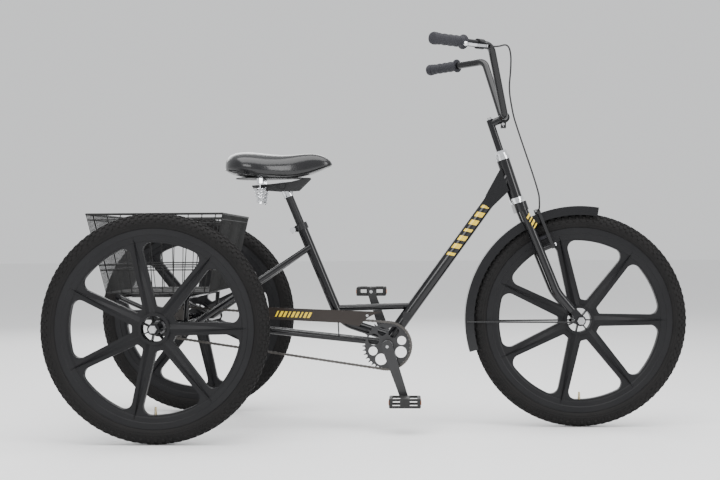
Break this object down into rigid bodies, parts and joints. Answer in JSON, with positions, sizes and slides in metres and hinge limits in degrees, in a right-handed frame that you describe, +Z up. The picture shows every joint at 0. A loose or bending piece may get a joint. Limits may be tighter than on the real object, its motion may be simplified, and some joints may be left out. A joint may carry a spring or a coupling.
{
  "type": "adult tricycle",
  "caption": "Upright pedal tricycle with moulded spoke wheels, a chain-driven rear axle, a sprung saddle, high-rise handlebar and a wire cargo basket between the rear wheels.",
  "frame": {"origin": "on the ground, midway between the front axle and the rear axles, in the middle plane", "axes": "+X forwards, +Y to the rider's left, +Z up"},
  "size_m": [1.907, 0.808, 1.1772],
  "materials": {
    "black_paint": "gloss",
    "basket_wire": "satin",
    "chrome": "polished",
    "steel": "satin",
    "black_crank": "satin",
    "rim_plastic": "satin",
    "tyre": "matte",
    "rubber": "matte",
    "cable": "gloss",
    "pedal_plastic": "matte",
    "vinyl": "gloss"
  },
  "bodies": {
    "frame": {"head_tube": "black_paint", "headset_cups": "chrome", "down_tube": "black_paint", "head_gusset": "black_paint", "seat_tube": "black_paint", "bridge_tube": "black_paint", "bottom_bracket_shell": "black_paint", "bottom_bracket_cups": "steel", "chainstays": "black_paint", "seat_stays": "black_paint", "rear_subframe": "black_paint", "axle_bearings": "steel", "left_axle": "steel", "left_axle_nut": "steel", "basket_frame": "black_paint", "basket": "basket_wire", "chain_guard": "black_paint", "chain_guard_brackets": "black_paint", "seat_clamp": "black_paint", "seat_clamp_knob": "chrome", "chain": "steel"},
    "fork": {"fork_crown": "black_paint", "fork_blades": "black_paint", "headset_races": "chrome", "front_axle": "steel", "front_axle_nuts": "steel", "front_fender": "black_paint", "fender_stays": "black_paint"},
    "front_wheel": {"front_rim": "rim_plastic", "front_tyre": "tyre", "front_hub_bearings": "steel"},
    "handlebar": {"stem": "black_paint", "handlebar": "black_paint", "grips": "rubber", "brake_lever_bracket": "black_paint", "brake_cable": "cable"},
    "brake_lever": {"brake_lever": "chrome"},
    "right_brake_arm": {"right_brake_arm": "black_crank", "right_brake_pad": "rubber"},
    "left_brake_arm": {"left_brake_arm": "black_crank", "left_brake_pad": "rubber"},
    "drive_axle": {"drive_axle": "steel", "drive_axle_nut": "steel", "axle_sprocket": "steel", "right_rim": "rim_plastic", "right_tyre": "tyre"},
    "left_wheel": {"left_rim": "rim_plastic", "left_tyre": "tyre"},
    "crank": {"crank_spindle": "steel", "chainring": "black_crank", "right_crank_arm": "black_crank", "left_crank_arm": "black_crank", "pedal_axles": "steel"},
    "right_pedal": {"right_pedal": "pedal_plastic"},
    "left_pedal": {"left_pedal": "pedal_plastic"},
    "seat_post": {"seat_post": "black_paint", "saddle_clamp": "chrome"},
    "saddle": {"saddle_frame": "black_paint", "saddle_springs": "chrome", "saddle_cushion": "vinyl"}
  },
  "joints": [
    {"name": "steer", "type": "hinge", "parent": "frame", "child": "fork", "pos_m": [0.4418, 0, 0.67904], "axis": [-0.309, 0, 0.9511], "range_deg": [-60, 60]},
    {"name": "stem_height", "type": "slide", "parent": "fork", "child": "handlebar", "axis": [-0.309, 0, 0.9511], "range_m": [-0.02, 0.03], "deforming": ["brake_cable"]},
    {"name": "brake_lever_pull", "type": "hinge", "parent": "handlebar", "child": "brake_lever", "pos_m": [0.33038, -0.21667, 1.1485], "axis": [-0.1971, 0.2264, -0.9539], "range_deg": [0, 10], "stiffness_Nm_per_rad": 1.5, "springref_deg": -5.73},
    {"name": "right_brake_arm_swing", "type": "hinge", "parent": "fork", "child": "right_brake_arm", "pos_m": [0.54011, -0.04, 0.56037], "axis": [-0.9285, 0, -0.3714], "range_deg": [0, 4], "stiffness_Nm_per_rad": 1, "springref_deg": -5.73},
    {"name": "left_brake_arm_swing", "type": "hinge", "parent": "fork", "child": "left_brake_arm", "pos_m": [0.54011, 0.04, 0.56037], "axis": [0.9285, 0, 0.3714], "range_deg": [0, 4], "stiffness_Nm_per_rad": 1, "springref_deg": -5.73},
    {"name": "front_wheel_spin", "type": "hinge", "parent": "fork", "child": "front_wheel", "pos_m": [0.6235, 0, 0.33], "axis": [0, 1, 0], "continuous": true},
    {"name": "drive_axle_spin", "type": "hinge", "parent": "frame", "child": "drive_axle", "pos_m": [-0.6235, 0, 0.33], "axis": [0, 1, 0], "continuous": true, "deforming": ["chain"]},
    {"name": "left_wheel_spin", "type": "hinge", "parent": "frame", "child": "left_wheel", "pos_m": [-0.6235, 0, 0.33], "axis": [0, 1, 0], "continuous": true},
    {"name": "crank_spin", "type": "hinge", "parent": "frame", "child": "crank", "pos_m": [0.03218, 0, 0.255], "axis": [0, 1, 0], "continuous": true},
    {"name": "right_pedal_spin", "type": "hinge", "parent": "crank", "child": "right_pedal", "pos_m": [0.08584, 0, 0.09369], "axis": [0, 1, 0], "continuous": true},
    {"name": "left_pedal_spin", "type": "hinge", "parent": "crank", "child": "left_pedal", "pos_m": [-0.02148, 0, 0.41631], "axis": [0, 1, 0], "continuous": true},
    {"name": "seat_height", "type": "slide", "parent": "frame", "child": "seat_post", "axis": [-0.3811, 0, 0.9245], "range_m": [-0.05, 0.04]},
    {"name": "saddle_tilt", "type": "hinge", "parent": "seat_post", "child": "saddle", "pos_m": [-0.29249, 0, 0.7508], "axis": [0, 1, 0], "range_deg": [-8, 8]}
  ],
  "couplings": [
    {"joint": "right_brake_arm_swing", "follows": "brake_lever_pull", "ratio": 0.4},
    {"joint": "left_brake_arm_swing", "follows": "brake_lever_pull", "ratio": 0.4},
    {"joint": "crank_spin", "follows": "drive_axle_spin", "ratio": 0.66667}
  ]
}
